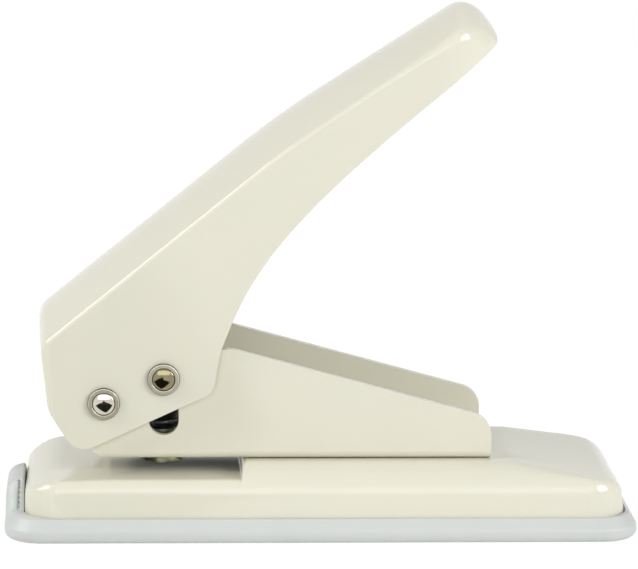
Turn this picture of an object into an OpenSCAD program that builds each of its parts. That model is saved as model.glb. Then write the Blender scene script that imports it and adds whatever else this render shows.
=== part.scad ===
// Single hole punch: a lever handle on a channel frame drives one punch through a die in the base.
// The front, where the paper goes in, is toward -x. The table is z = 0, and the tray's middle is
// at x = 0, y = 0.

/* [Tray] */
// Length of the chip tray, which is the length of the whole punch
tray_l = 119.3; // [112:0.1:135]
// Width of the chip tray
tray_w = 45; // [42:0.5:54]
// Radius of the tray's corners seen from above
tray_corner = 7; // [4:0.5:12]
// Thickness of the tray's floor
tray_floor = 1.6; // [1:0.1:2.2]
// Radius of the tray's lower edge
tray_edge_r = 1.4; // [0.6:0.1:1.8]
// Height of the rim's upright side
rim_side = 2.4; // [2:0.1:3.2]
// Height of the rim's inner edge
rim_h = 4.6; // [3.8:0.1:5.6]
// Width of the rim outside the base
rim_w = 2; // [1.2:0.1:3]
// Height of the ledge that the base stands on
ledge_h = 2.6; // [2.3:0.1:3.4]
// Width of the pull tab at the front
tab_w = 10; // [6:0.5:16]
// Depth of the pull tab, from the tray's front to its back face
tab_depth = 3.5; // [3:0.1:5]
// Height of the pull tab
tab_h = 9.2; // [8:0.1:11]
// Width of the slit through the pull tab
tab_slit = 0.6; // [0.4:0.1:1]

/* [Base] */
// Sheet thickness of the base
base_t = 1.2; // [0.8:0.1:1.6]
// Height of the deck that the paper lies on
deck_h = 11.3; // [10:0.1:14]
// Height of the paper throat between the deck and the frame
throat = 2.7; // [2:0.1:4]
// Distance from the punch to the step that stops the paper
paper_depth = 14.4; // [12:0.1:17]
// Radius of the base's upper edges along its sides
shoulder_r = 6.5; // [4:0.1:7.5]
// How far a side wall leans in from its foot to the shoulder
base_lean = 0.6; // [0.3:0.1:1.5]
// Radius of the base's nose in front of the deck
nose_r = 11; // [3:0.5:14]
// How far the base's back slopes down behind the frame
back_drop = 3.3; // [1:0.1:4]

/* [Frame] */
// Width of the frame over its sides
frame_w = 26; // [22:0.5:28]
// Sheet thickness of the frame
frame_t = 1.5; // [1:0.1:2]
// Outside radius of the frame's bends
frame_bend = 1.9; // [1.6:0.1:2.6]
// Distance from the punch to the frame's rear end
frame_rear = 61.9; // [52:0.5:66]
// Distance from the punch to the frame's front tip
frame_front = 12.6; // [12:0.1:16]
// Height of the frame's sides at its rear end
frame_rear_h = 7.9; // [5:0.1:10]
// Height of the frame's sides at the peak
frame_peak_h = 21.2; // [20:0.1:24]
// Distance from the punch back to the peak's rear end
frame_peak_rear = 13.1; // [10:0.1:18]

/* [Handle] */
// Sheet thickness of the handle
handle_t = 1.2; // [0.8:0.1:1.6]
// Side gap between the handle and the frame
side_gap = 0.8; // [0.6:0.1:1.2]
// Slope of the handle's back at rest, in degrees
handle_slope = 39.3; // [34:0.1:42]
// Height of the handle's back over the pivot, square to the back
handle_back = 19.7; // [17:0.1:22]
// Crown of the handle's back across its width
handle_crown = 3.9; // [2:0.1:4.5]
// Fold radius along the handle's upper edges
handle_fold = 1.3; // [1:0.1:3]
// Distance from the pivot to the handle's front face
front_reach = 10.65; // [9:0.05:12]
// Lean of the handle's front face, in degrees
front_lean = 6.5; // [4:0.1:12]
// Distance from the pivot down to the cheek's lower edge
cheek_drop = 6.85; // [6:0.05:8]
// Slope of the cheek's lower edge, in degrees
cheek_slope = 23.4; // [18:0.1:27]
// Distance from the pivot to the cheek's rear corner
cheek_l = 20.5; // [18:0.1:24]
// Distance from the pivot to the grip's end, along the table
grip_reach = 73.7; // [68:0.1:84]
// Height of the grip's lower edge over the pivot
grip_h = 66.5; // [60:0.1:70]
// Width of the grip
grip_w = 27; // [22:0.5:29]
// Crown of the grip's back across its width
grip_crown = 3; // [2:0.1:4]
// Length of the grip's rounded end
grip_round = 10.5; // [5:0.1:12]

/* [Pins] */
// Diameter of the two rivet pins
pin_d = 4; // [3.4:0.1:4.4]
// Diameter of the pins' heads
pin_head_d = 6.3; // [5.4:0.1:7.5]
// Thickness of the pins' heads
pin_head_t = 0.7; // [0.5:0.1:1.2]
// Height of the pivot over the frame's underside
pivot_h = 11.3; // [10:0.1:12.5]
// Distance from the pivot to the punch's axis, along the table
pivot_to_punch = 11.2; // [10.8:0.1:12]
// Distance from the pivot to the drive pin
drive_arm = 12.1; // [11.5:0.1:12.6]
// Rise of the drive pin over the pivot at rest, in degrees
drive_rise = 22.7; // [20:0.1:25]
// Press angle of the handle, in degrees
press_angle = 30; // [24:0.5:32]

/* [Punch] */
// Diameter of the hole that the punch cuts
punch_d = 6; // [5:0.1:6.5]
// Distance from the tray's front end to the punch's axis
punch_in = 29.8; // [28:0.1:33]
// Diameter of the punch's head
head_d = 11; // [10.5:0.1:13]
// Wall of the head over and under the cross slot
head_wall = 1.8; // [1.2:0.1:2.4]
// Wire diameter of the return spring
wire_d = 0.8; // [0.6:0.05:1]
// Turns of the return spring
spring_turns = 3; // [2:1:3]
// Wall of the punch guide
guide_wall = 1.2; // [0.8:0.1:1.6]
// Height of the punch guide over the frame's floor
guide_rise = 2.4; // [1.5:0.1:2.8]
// Thickness of the spring's washers
washer_t = 0.5; // [0.4:0.1:0.6]

/* [Fits] */
// Radial clearance of a pin or punch that turns or slides in its hole
run_gap = 0.05; // [0.02:0.01:0.1]
// Radial clearance of a fixed pin in its hole
fix_gap = 0.02; // [0.01:0.01:0.04]
// Clearance between the tray and the base
tray_gap = 0.15; // [0.1:0.05:0.3]
// Clearance over and under the drive pin in the punch's cross slot
cross_gap = 0.15; // [0.1:0.01:0.2]
// Clearance beside the drive pin in the frame's slots
slot_gap = 0.25; // [0.2:0.05:0.6]

/* [Hidden] */
$fn = 48;
ARC_STEPS = 6;
CUT = 1;
CREAM = [0.89, 0.886, 0.82];
WHITE = [0.86, 0.87, 0.86];
STEEL = [0.72, 0.72, 0.7];
DARK_STEEL = [0.5, 0.5, 0.5];

// Heights
platform_h = deck_h + throat;
floor_top = platform_h + frame_t;
pivot_z = platform_h + pivot_h;

// Places along the length
punch_x = punch_in - tray_l / 2;
pivot_x = punch_x - pivot_to_punch;
step_x = punch_x + paper_depth;
base_front_x = tab_depth - tray_l / 2 + tray_gap;
base_rear_x = tray_l / 2 - rim_w;
frame_rear_x = punch_x + frame_rear;
frame_front_x = punch_x - frame_front;

// Tray: ledge inside the base's foot, and the pull tab's shape
ledge_w = 1.2;
tab_slant = 1;
tab_r = 2.8;
tab_roof = 1.4;

// Base outline
base_w = tray_w - 2 * rim_w;
base_foot = ledge_h + tray_gap;
corner_flat = 0.6;
base_corner = shoulder_r + base_lean + corner_flat;
nose_in = sqrt(shoulder_r * shoulder_r - (shoulder_r - throat) * (shoulder_r - throat));
nose_tangent = (shoulder_r - throat) / nose_in;
step_run = 0.8;
step_fillet = 0.6;
step_round = 1.6;
back_start = 4;
back_blend = 12;
back_round = 4.5;
back_end = 2.2;
end_run = 0.2;
end_drop = 2.8;
end_spread = 0.6;

// The drive pin's travel: it drops along an arc and drifts back by a little
drive_x = pivot_x + drive_arm * cos(drive_rise);
drive_z = pivot_z + drive_arm * sin(drive_rise);
drive_drift = drive_arm * (1 - cos(drive_rise));
punch_stroke = drive_arm * (sin(drive_rise) - sin(drive_rise - press_angle));

// Frame: slots with some spare room in front of the pin and under it, and an ear round the pivot
slot_spare = 0.3;
slot_under = 2.4;
slot_w = pin_d + drive_drift + 2 * slot_gap + slot_spare;
slot_x = drive_x + (drive_drift - slot_spare) / 2;
slot_top = drive_z + pin_d / 2 + slot_gap;
slot_bottom = drive_z - punch_stroke - pin_d / 2 - slot_under;
ear_r = 6;
ear_chin = 2;
tip_r = 4;
frame_rear_r = 4;
frame_peak_r = 9;
frame_brow = 5;

// Punch and spring
cross_h = pin_d + 2 * cross_gap;
cross_w = pin_d + 2 * (drive_drift + slot_gap);
head_bottom = drive_z - cross_h / 2 - head_wall;
head_top = drive_z + cross_h / 2 + head_wall;
tip_inset = 0.7;
tip_hollow = 0.6;
punch_tip = platform_h + tip_inset;
guide_d = punch_d + 2 * run_gap + 2 * guide_wall;
spring_room = 1;
spring_d = guide_d + 2 * spring_room + wire_d;
washer_d = spring_d + 3 * wire_d;
spring_bottom = floor_top + washer_t;
spring_top = head_bottom - washer_t;
die_wall = 1.5;
die_flange = 2.5;
die_flange_t = 1.8;
die_mouth_w = 0.85;
die_mouth_h = 0.5;
die_spigot_d = punch_d + 2 * die_wall;
die_flange_d = die_spigot_d + 2 * die_flange;

// Pin heads
pin_dome_d = 4.1;
dome_h = 0.55;
ring_edge = 0.2;
groove_w = 0.2;
groove_h = 0.3;
DOME_STEPS = 5;

// Spacer and washers on the pivot
spacer_wall = 1.2;
pivot_washer_w = 2;
washer_gap = 0.1;

// Rivets between the frame's floor and the platform
rivet_d = 4;
rivet_head_d = 7;
rivet_head_t = 1.3;
rivet_tail_d = 6;
rivet_tail_t = 0.9;
rivet_edge = 0.3;
rivet_inset = 9;
rivet_xs = [step_x + rivet_inset, frame_rear_x - rivet_inset];

// Handle: the crown's slope is taken at this share of the fold's radius inside the side
FOLD_SHARE = 0.65;
handle_w = frame_w + 2 * (side_gap + handle_t);
grip_x = pivot_x + grip_reach;
bend_start = 25;
bend_x = pivot_x + bend_start;
bend_l = 16;
bend_rate = 0.0106;
tip_drop = 11.5;
tip_stretch = 1.15;
tip_plan = tip_stretch * grip_round;
tip_narrow = 0.9;
tip_fold = 5.5;
fold_run = 26;
fold_x = grip_x - fold_run;
heel_r = 8;
cheek_r = 3;
// The curve under the handle leaves the cheek's corner and runs up to the grip
UNDER_STEPS = 14;
under_start = [1.1, 7.4];
under_pull = [6.6, 21.7];
grip_pull = [44.4, 33.9];
grip_start = [1.8, 0.4];
// The grip's lower corner, behind and over its lower edge, and the rise of its end
end_turn = [1.05, 0.15];
end_corner = 1.5;
end_rise = 2.6;
start_x = pivot_x - 2 * front_reach;
low_z = pivot_z - 4 * cheek_drop;
high_z = pivot_z + 2 * grip_h;

// Outline of points [x, y, r] with each corner rounded to its radius r
function corner_arc(before, at, after, r) =
    let (
        u = (before - at) / norm(before - at),
        v = (after - at) / norm(after - at),
        half = acos(max(-1, min(1, u * v))) / 2,
        centre = at + (u + v) / norm(u + v) * r / sin(half),
        start = at + u * r / tan(half) - centre,
        end = at + v * r / tan(half) - centre,
        a = atan2(start.y, start.x),
        turn = (atan2(end.y, end.x) - a + 540) % 360 - 180
    )
    [for (i = [0 : ARC_STEPS]) centre + r * [cos(a + turn * i / ARC_STEPS), sin(a + turn * i / ARC_STEPS)]];

function rounded(pts) =
    let (n = len(pts))
    [for (i = [0 : n - 1])
        let (
            p = pts[i],
            before = pts[(i + n - 1) % n],
            after = pts[(i + 1) % n],
            flat = [p.x, p.y]
        )
        each p.z > 0 ? corner_arc([before.x, before.y], flat, [after.x, after.y], p.z) : [flat]];

// Cubic curve between p0 and p3
function curve(p0, p1, p2, p3, steps) =
    [for (i = [0 : steps])
        let (t = i / steps, s = 1 - t)
        s * s * s * p0 + 3 * s * s * t * p1 + 3 * s * t * t * p2 + t * t * t * p3];

// Outline in x and z, drawn out to a width w across the middle
module across(w) {
    translate([0, w / 2, 0])
        rotate([90, 0, 0])
            linear_extrude(w)
                children();
}

// Outline in y and z, drawn out from x0 to x1
module along(x0, x1) {
    translate([x0, 0, 0])
        rotate([90, 0, 90])
            linear_extrude(x1 - x0)
                children();
}

// Bar across the middle at x, z
module crossbar(x, z, d, l) {
    translate([x, 0, z])
        rotate([90, 0, 0])
            cylinder(d = d, h = l, center = true);
}

// Rectangle with round corners, from x0 to x1
module plate(x0, x1, w, r) {
    translate([x0 + r, -w / 2])
        square([x1 - x0 - 2 * r, w]);
    translate([x0, r - w / 2])
        square([x1 - x0, w - 2 * r]);
    for (x = [x0 + r, x1 - r], y = [r - w / 2, w / 2 - r])
        translate([x, y])
            circle(r);
}

// Smooth block with the same edge outline on all four corners
module block(x0, x1, w, r) {
    hull()
        for (x = [x0 + r, x1 - r], y = [r - w / 2, w / 2 - r])
            translate([x, y, 0])
                rotate_extrude($fn = 32)
                    children();
}

module tray_edge() {
    polygon(concat(
        [[0, 0]],
        [for (a = [-90 : 30 : 0])
            [tray_corner - tray_edge_r + tray_edge_r * cos(a), tray_edge_r + tray_edge_r * sin(a)]],
        [[tray_corner, rim_side], [tray_corner - rim_w + tray_gap, rim_h], [0, rim_h]]));
}

module tab_outline() {
    x0 = -tray_l / 2;
    x1 = x0 + tab_depth;
    polygon(rounded([
        [x0, ledge_h, 0],
        [x0, tab_h - tab_slant, tab_r],
        [x1, tab_h, tab_slant / 2],
        [x1, ledge_h, 0]]));
}

module chip_tray() {
    wall = base_t + ledge_w;
    color(WHITE)
        difference() {
            union() {
                difference() {
                    block(-tray_l / 2, tray_l / 2, tray_w, tray_corner)
                        tray_edge();
                    translate([0, 0, ledge_h])
                        linear_extrude(rim_h)
                            plate(base_front_x - tray_gap, base_rear_x + tray_gap,
                                base_w + 2 * tray_gap, base_corner + tray_gap);
                    translate([0, 0, tray_floor])
                        linear_extrude(rim_h)
                            plate(base_front_x + wall, base_rear_x - wall, base_w - 2 * wall,
                                base_corner - wall);
                }
                across(tab_w)
                    tab_outline();
            }
            translate([(tab_depth - tray_l + tab_slit) / 2, -tab_w, ledge_h])
                cube([tab_slit, 2 * tab_w, tab_h - ledge_h - tab_roof]);
        }
}

// Edge of the base's block, and of its hollow at a depth t inside
module base_edge(t) {
    r = base_corner - t;
    top = platform_h - t;
    s = shoulder_r - t / 2;
    foot = base_foot - (t > 0 ? CUT : 0);
    polygon(concat(
        [[0, foot], [r, foot]],
        [for (a = [0 : 15 : 90]) [r - base_lean - s + s * cos(a), top - s + s * sin(a)]],
        [[0, top]]));
}

// Side outline of the base at a depth t inside: nose, deck, step, platform and sloping back
module base_side(t) {
    foot = base_foot - 2 * CUT;
    nose = base_front_x + base_lean + shoulder_r - nose_in + t;
    rear = base_rear_x - t;
    polygon(rounded([
        [nose - nose_tangent * (deck_h - t - foot), foot, 0],
        [nose, deck_h - t, nose_r - t],
        [step_x + t, deck_h - t, step_fillet],
        [step_x + t + step_run, platform_h - t, step_round],
        [frame_rear_x + back_start, platform_h - t, back_blend],
        [rear - back_end, platform_h - back_drop - t, back_round],
        [rear - end_run, platform_h - back_drop - end_drop - t, back_round],
        [rear + end_spread, foot, 0]]));
}

module base_cover() {
    color(CREAM)
        difference() {
            intersection() {
                block(base_front_x, base_rear_x, base_w, base_corner)
                    base_edge(0);
                across(2 * base_w)
                    base_side(0);
            }
            intersection() {
                block(base_front_x + base_t, base_rear_x - base_t, base_w - 2 * base_t, base_corner - base_t)
                    base_edge(base_t);
                across(2 * base_w)
                    base_side(base_t);
            }
            translate([punch_x, 0, deck_h - base_t - CUT])
                cylinder(d = die_spigot_d + 2 * fix_gap, h = base_t + 2 * CUT);
            for (x = rivet_xs)
                translate([x, 0, platform_h - base_t - CUT])
                    cylinder(d = rivet_d + 2 * fix_gap, h = base_t + 2 * CUT);
        }
}

module die_bush() {
    die_bore = punch_d + 2 * run_gap;
    color(STEEL)
        translate([punch_x, 0, deck_h - base_t - die_flange_t])
            difference() {
                union() {
                    cylinder(d = die_flange_d, h = die_flange_t);
                    cylinder(d = die_spigot_d, h = die_flange_t + base_t);
                }
                translate([0, 0, -CUT])
                    cylinder(d = die_bore, h = die_flange_t + base_t + 2 * CUT);
                translate([0, 0, die_flange_t + base_t - die_mouth_h])
                    cylinder(d1 = die_bore, d2 = die_bore + 2 * die_mouth_w, h = die_mouth_h);
            }
}

module frame_side() {
    polygon(rounded([
        [frame_front_x, platform_h, tip_r],
        [frame_rear_x, platform_h, 0],
        [frame_rear_x, platform_h + frame_rear_h, frame_rear_r],
        [punch_x + frame_peak_rear, platform_h + frame_peak_h, frame_peak_r],
        [pivot_x + frame_brow, platform_h + frame_peak_h, ear_r],
        [pivot_x - ear_r, pivot_z + ear_r, ear_r],
        [pivot_x - ear_r, pivot_z - ear_chin, ear_r / 2]]));
}

module channel_section() {
    w = frame_w / 2;
    top = platform_h + frame_peak_h + CUT;
    inner = w - frame_t;
    polygon(rounded([
        [-w, platform_h, frame_bend],
        [w, platform_h, frame_bend],
        [w, top, 0],
        [inner, top, 0],
        [inner, floor_top, frame_bend - frame_t],
        [-inner, floor_top, frame_bend - frame_t],
        [-inner, top, 0],
        [-w, top, 0]]));
}

module frame() {
    through = frame_w + 2 * CUT;
    color(CREAM)
        difference() {
            intersection() {
                across(through)
                    frame_side();
                along(pivot_x - ear_r - CUT, frame_rear_x + CUT)
                    channel_section();
            }
            crossbar(pivot_x, pivot_z, pin_d + 2 * run_gap, through);
            crossbar(slot_x, slot_top - slot_w / 2, slot_w, through);
            crossbar(slot_x, slot_bottom + slot_w / 2, slot_w, through);
            translate([slot_x - slot_w / 2, -through / 2, slot_bottom + slot_w / 2])
                cube([slot_w, through, slot_top - slot_bottom - slot_w]);
            translate([punch_x, 0, platform_h - CUT])
                cylinder(d = guide_d - guide_wall + 2 * fix_gap, h = frame_t + 2 * CUT);
            for (x = rivet_xs)
                translate([x, 0, platform_h - CUT])
                    cylinder(d = rivet_d + 2 * fix_gap, h = frame_t + 2 * CUT);
        }
}

module frame_rivets() {
    shank = frame_t + base_t;
    color(STEEL)
        for (x = rivet_xs)
            translate([x, 0, platform_h - base_t])
                rotate_extrude()
                    polygon([
                        [0, -rivet_tail_t],
                        [rivet_tail_d / 2 - rivet_edge, -rivet_tail_t],
                        [rivet_tail_d / 2, 0],
                        [rivet_d / 2, 0],
                        [rivet_d / 2, shank],
                        [rivet_head_d / 2, shank],
                        [rivet_head_d / 2 - rivet_edge, shank + rivet_head_t / 2],
                        [rivet_head_d / 2 - 4 * rivet_edge, shank + rivet_head_t],
                        [0, shank + rivet_head_t]]);
}

module punch_guide() {
    color(DARK_STEEL)
        translate([punch_x, 0, platform_h])
            difference() {
                union() {
                    cylinder(d = guide_d - guide_wall, h = frame_t);
                    translate([0, 0, frame_t])
                        cylinder(d = guide_d, h = guide_rise);
                }
                translate([0, 0, -CUT])
                    cylinder(d = punch_d + 2 * run_gap, h = frame_t + guide_rise + 2 * CUT);
            }
}

// Flat ring round the punch's axis
module ring(z, d, bore) {
    translate([punch_x, 0, z])
        difference() {
            cylinder(d = d, h = washer_t);
            translate([0, 0, -CUT])
                cylinder(d = bore, h = washer_t + 2 * CUT);
        }
}

module spring_seat() {
    color(STEEL)
        ring(floor_top, washer_d, guide_d + 2 * run_gap);
}

module spring_cap() {
    color(STEEL)
        ring(spring_top, washer_d, punch_d + 2 * fix_gap);
}

// The spring is one tube: rings of points round a rising circle
RINGS_A_TURN = 8;
RING_SIDES = 6;
spring_rings = spring_turns * RINGS_A_TURN;
spring_play = 0.05;
spring_rise = (spring_top - spring_bottom - wire_d - 2 * spring_play) / spring_rings;
spring_start = spring_bottom + spring_play + wire_d / 2;
spring_centres = [for (i = [0 : spring_rings])
    let (a = 360 * i / RINGS_A_TURN)
    [spring_d / 2 * cos(a), spring_d / 2 * sin(a), spring_start + spring_rise * i]];
spring_gap = min([for (i = [0 : spring_rings], j = [0 : spring_rings])
    if (j - i >= RINGS_A_TURN / 2) norm(spring_centres[j] - spring_centres[i])]) - wire_d;
echo(spring_gap_to_itself = spring_gap);

module return_spring() {
    sides = RING_SIDES;
    pts = [for (i = [0 : spring_rings], k = [0 : sides - 1])
        let (
            a = 360 * i / RINGS_A_TURN,
            b = 360 * k / sides,
            out = wire_d / 2 * cos(b)
        )
        spring_centres[i] + [out * cos(a), out * sin(a), wire_d / 2 * sin(b)]];
    skin = [for (i = [0 : spring_rings - 1], k = [0 : sides - 1])
        let (
            p = i * sides + k,
            q = i * sides + (k + 1) % sides
        )
        each [[p, q, q + sides], [p, q + sides, p + sides]]];
    caps = [for (k = [1 : sides - 2])
        each [[0, k + 1, k], spring_rings * sides * [1, 1, 1] + [0, k, k + 1]]];
    color(DARK_STEEL)
        translate([punch_x, 0, 0])
            polyhedron(pts, concat(skin, caps), convexity = 10);
}

module punch() {
    hollow_r = punch_d;
    color(STEEL)
        translate([punch_x, 0, 0])
            difference() {
                union() {
                    translate([0, 0, punch_tip])
                        cylinder(d = punch_d, h = head_bottom - punch_tip);
                    translate([0, 0, head_bottom])
                        cylinder(d = head_d, h = head_top - head_bottom);
                }
                translate([-cross_w / 2, -head_d, drive_z - cross_h / 2])
                    cube([cross_w, 2 * head_d, cross_h]);
                translate([0, 0, punch_tip - hollow_r + tip_hollow])
                    rotate([90, 0, 0])
                        cylinder(r = hollow_r, h = 2 * punch_d, center = true);
            }
}

// Half of a rivet pin: a shank, a head with a flat ring, a groove and a dome inside the ring
module half_pin(half_l) {
    head_r = pin_head_d / 2;
    dome_r = pin_dome_d / 2;
    top = half_l + pin_head_t;
    rotate_extrude()
        polygon(concat(
            [[0, 0],
                [pin_d / 2, 0],
                [pin_d / 2, half_l],
                [head_r, half_l],
                [head_r, top - ring_edge],
                [head_r - ring_edge, top],
                [dome_r + groove_w, top],
                [dome_r + groove_w / 2, top - groove_h]],
            [for (i = [DOME_STEPS : -1 : 0])
                let (u = i / DOME_STEPS)
                [dome_r * u, top - groove_h / 2 + dome_h * (1 - u * u)]]));
}

module pin(x, z) {
    color(STEEL)
        translate([x, 0, z])
            union() {
                rotate([90, 0, 0])
                    half_pin(handle_w / 2);
                rotate([-90, 0, 0])
                    half_pin(handle_w / 2);
            }
}

module drive_pin() {
    pin(drive_x, drive_z);
}

module pivot_pin() {
    pin(pivot_x, pivot_z);
}

module pivot_spacer() {
    l = frame_w - 2 * frame_t - 2 * washer_gap;
    color(DARK_STEEL)
        difference() {
            crossbar(pivot_x, pivot_z, pin_d + 2 * spacer_wall, l);
            crossbar(pivot_x, pivot_z, pin_d + 2 * run_gap, l + 2 * CUT);
        }
}

module pivot_washers() {
    t = side_gap - 2 * washer_gap;
    color(STEEL)
        for (side = [-1, 1])
            translate([0, side * (frame_w + side_gap) / 2, 0])
                difference() {
                    crossbar(pivot_x, pivot_z, pin_d + 2 * pivot_washer_w, t);
                    crossbar(pivot_x, pivot_z, pin_d + 2 * fix_gap, t + 2 * CUT);
                }
}

// Handle: height of the back's middle line, and half width, at a place x and a depth t inside
function back_z(x, t) =
    let (
        past = max(0, x - bend_x),
        run = min(past, bend_l),
        u = min(1, max(0, (x - grip_x + t + grip_round) / grip_round))
    )
    pivot_z + (handle_back - t) / cos(handle_slope) + (x - pivot_x) * tan(handle_slope)
        - bend_rate * run * (past - run / 2) - tip_drop * (1 - sqrt(1 - u * u));

// Share of the way from the bend to the grip's end
function taper(x) = min(1, max(0, (x - bend_x) / (grip_x - bend_x)));

function half_w(x, t) =
    let (
        u = tip_narrow * min(1, max(0, (x - grip_x + t + tip_plan) / tip_plan))
    )
    (handle_w / 2 + (grip_w - handle_w) / 2 * taper(x)) * sqrt(1 - u * u) - t;

// The fold widens towards the grip's end
function fold_r(x) =
    let (u = min(1, max(0, (x - fold_x) / (grip_x - fold_x))))
    handle_fold + (tip_fold - handle_fold) * u * u;

// Cross section at x: a side, a fold, the crowned back, a fold and a side
function hood_section(x, t) =
    let (
        w = half_w(x, t),
        crown = (handle_crown + (grip_crown - handle_crown) * taper(x)) / cos(handle_slope),
        fold = fold_r(x) - t / 2,
        tilt = atan(2 * crown * (w - FOLD_SHARE * fold) / (w * w)),
        edge = w - fold * (1 - sin(tilt)),
        edge_z = back_z(x, t) - crown * edge * edge / (w * w),
        half = concat(
            [[w, low_z]],
            [for (i = [0 : 3])
                let (a = 90 + (tilt - 90) * i / 4)
                [edge + fold * (sin(a) - sin(tilt)), edge_z - fold * (cos(tilt) - cos(a))]],
            [for (i = [4 : -1 : 1])
                [edge * i / 4, back_z(x, t) - crown * (edge * i / 4) * (edge * i / 4) / (w * w)]])
    )
    concat(
        [for (p = half) [x, -p.x, p.y]],
        [[x, 0, back_z(x, t)]],
        [for (i = [len(half) - 1 : -1 : 0]) [x, half[i].x, half[i].y]]);

// Solid under the handle's back, before its sides are cut to shape
module hood(t) {
    tip = grip_x - t;
    straight = bend_x + bend_l;
    xs = concat(
        [start_x],
        [for (i = [0 : 4]) bend_x + bend_l * i / 4],
        [for (i = [1 : 4]) straight + (tip - tip_plan - straight) * i / 4],
        [for (i = [1 : 8]) tip - tip_plan + tip_plan * sin(90 * i / 8)]);
    sections = [for (x = xs) hood_section(x, t)];
    n = len(sections[0]);
    last = (len(xs) - 1) * n;
    skin = [for (i = [0 : len(xs) - 2], k = [0 : n - 1])
        let (
            p = i * n + k,
            q = i * n + (k + 1) % n
        )
        each [[p, q, q + n], [p, q + n, p + n]]];
    caps = [for (k = [1 : n - 2])
        each [[0, k + 1, k], [last, last + k, last + k + 1]]];
    polyhedron([for (s = sections) each s], concat(skin, caps), convexity = 6);
}

// Place of the front face at a height z over the pivot, at a depth t inside
function front_x(z, t) = pivot_x - front_reach - z * tan(front_lean) + t / cos(front_lean);

module handle_outline() {
    slope = tan(cheek_slope);
    heel_x = -(front_reach - cheek_drop * tan(front_lean)) / (1 + slope * tan(front_lean));
    at = [pivot_x, pivot_z];
    corner = at + [cheek_l, slope * cheek_l - cheek_drop];
    lower = curve(
        corner + under_start,
        corner + under_pull,
        at + [grip_reach, grip_h] - grip_pull,
        at + [grip_reach, grip_h] - grip_start, UNDER_STEPS);
    polygon(rounded(concat(
        [[front_x(high_z - pivot_z, 0), high_z, 0],
            [pivot_x + heel_x, pivot_z - cheek_drop + slope * heel_x, heel_r],
            [pivot_x + cheek_l, pivot_z - cheek_drop + slope * cheek_l, cheek_r]],
        [for (p = lower) [p.x, p.y, 0]],
        [[grip_x - end_turn.x, pivot_z + grip_h + end_turn.y, end_corner],
            [grip_x, pivot_z + grip_h + end_rise, 0],
            [grip_x + CUT, high_z, 0]])));
}

module handle() {
    through = handle_w + 2 * CUT;
    color(CREAM)
        difference() {
            intersection() {
                hood(0);
                across(2 * handle_w)
                    handle_outline();
            }
            intersection() {
                hood(handle_t);
                across(2 * handle_w)
                    polygon([
                        [front_x(high_z - pivot_z, handle_t), high_z],
                        [front_x(low_z - pivot_z, handle_t), low_z - CUT],
                        [grip_x, low_z - CUT],
                        [grip_x, high_z]]);
            }
            crossbar(pivot_x, pivot_z, pin_d + 2 * fix_gap, through);
            crossbar(drive_x, drive_z, pin_d + 2 * fix_gap, through);
        }
}

chip_tray();
base_cover();
die_bush();
frame();
frame_rivets();
punch_guide();
spring_seat();
return_spring();
spring_cap();
punch();
drive_pin();
pivot_pin();
pivot_spacer();
pivot_washers();
handle();
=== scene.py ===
# %% [markdown]
# # A single hole punch, dressed
# A desk punch is a few bent sheets of steel, some turned pins and one plastic tray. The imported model
# brings the right sizes and the joints. This lesson gives each piece its rounded edges and its finish,
# and never moves what is packed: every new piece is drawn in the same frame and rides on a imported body.

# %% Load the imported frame
import math

import bmesh
import bpy
from mathutils import Matrix, Vector


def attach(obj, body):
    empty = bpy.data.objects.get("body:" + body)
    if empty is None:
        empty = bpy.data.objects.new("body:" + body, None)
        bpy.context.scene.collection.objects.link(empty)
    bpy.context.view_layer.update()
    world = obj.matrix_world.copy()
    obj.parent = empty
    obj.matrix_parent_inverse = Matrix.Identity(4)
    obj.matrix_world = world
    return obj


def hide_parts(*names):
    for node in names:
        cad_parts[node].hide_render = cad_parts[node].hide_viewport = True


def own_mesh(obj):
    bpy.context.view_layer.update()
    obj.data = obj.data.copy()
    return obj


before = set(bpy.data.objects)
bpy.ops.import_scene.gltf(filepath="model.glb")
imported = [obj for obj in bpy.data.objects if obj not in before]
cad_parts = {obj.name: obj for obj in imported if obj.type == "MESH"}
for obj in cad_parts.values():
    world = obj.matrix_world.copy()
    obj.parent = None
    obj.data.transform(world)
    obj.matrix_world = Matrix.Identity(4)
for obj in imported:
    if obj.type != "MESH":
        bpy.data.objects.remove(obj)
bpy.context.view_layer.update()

# %% [markdown]
# ## From a drawing to a piece
# All lengths below are in millimetres, as on a workshop drawing, and Blender works in metres. One helper
# therefore closes each piece: it welds the seams that operators leave, turns the faces outwards, scales
# the mesh to metres and hands it to an object that stays at the origin. The object then rides on a body,
# takes its finishes as material slots and stands in for a imported node.

# %% Close a drawing into a piece
MM = 0.001
WELD = 0.0005


def make_piece(name, bm, body, nodes, finishes):
    """Turns a drawing in millimetres into an object in metres that rides on a body."""
    bmesh.ops.remove_doubles(bm, verts=bm.verts, dist=WELD)
    bmesh.ops.recalc_face_normals(bm, faces=bm.faces)
    bmesh.ops.scale(bm, vec=(MM, MM, MM), verts=bm.verts)
    mesh = bpy.data.meshes.new(name)
    bm.to_mesh(mesh)
    bm.free()
    mesh.shade_smooth()
    for finish in finishes:
        mesh.materials.append(finish)
    piece = bpy.data.objects.new(name, mesh)
    bpy.context.scene.collection.objects.link(piece)
    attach(piece, body)
    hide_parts(*nodes)
    print(name, "has", len(mesh.polygons), "faces before its modifiers")
    return piece


# %% [markdown]
# ## Chains and corners
# A pressed sheet is first an outline with round corners. A chain of edges gives the straight outline, and
# a vertex bevel on one corner gives the round. The bevel asks for the length of edge that it eats, so the
# helper works that out from the corner's angle and the radius on the drawing.

# %% Draw a chain and round its corners


def chain(bm, points, closed=False):
    """Draws points as a chain of edges and returns its vertices."""
    verts = [bm.verts.new(p) for p in points]
    for pair in zip(verts, verts[1:] + verts[:1] if closed else verts[1:]):
        bm.edges.new(pair)
    return verts


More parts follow.
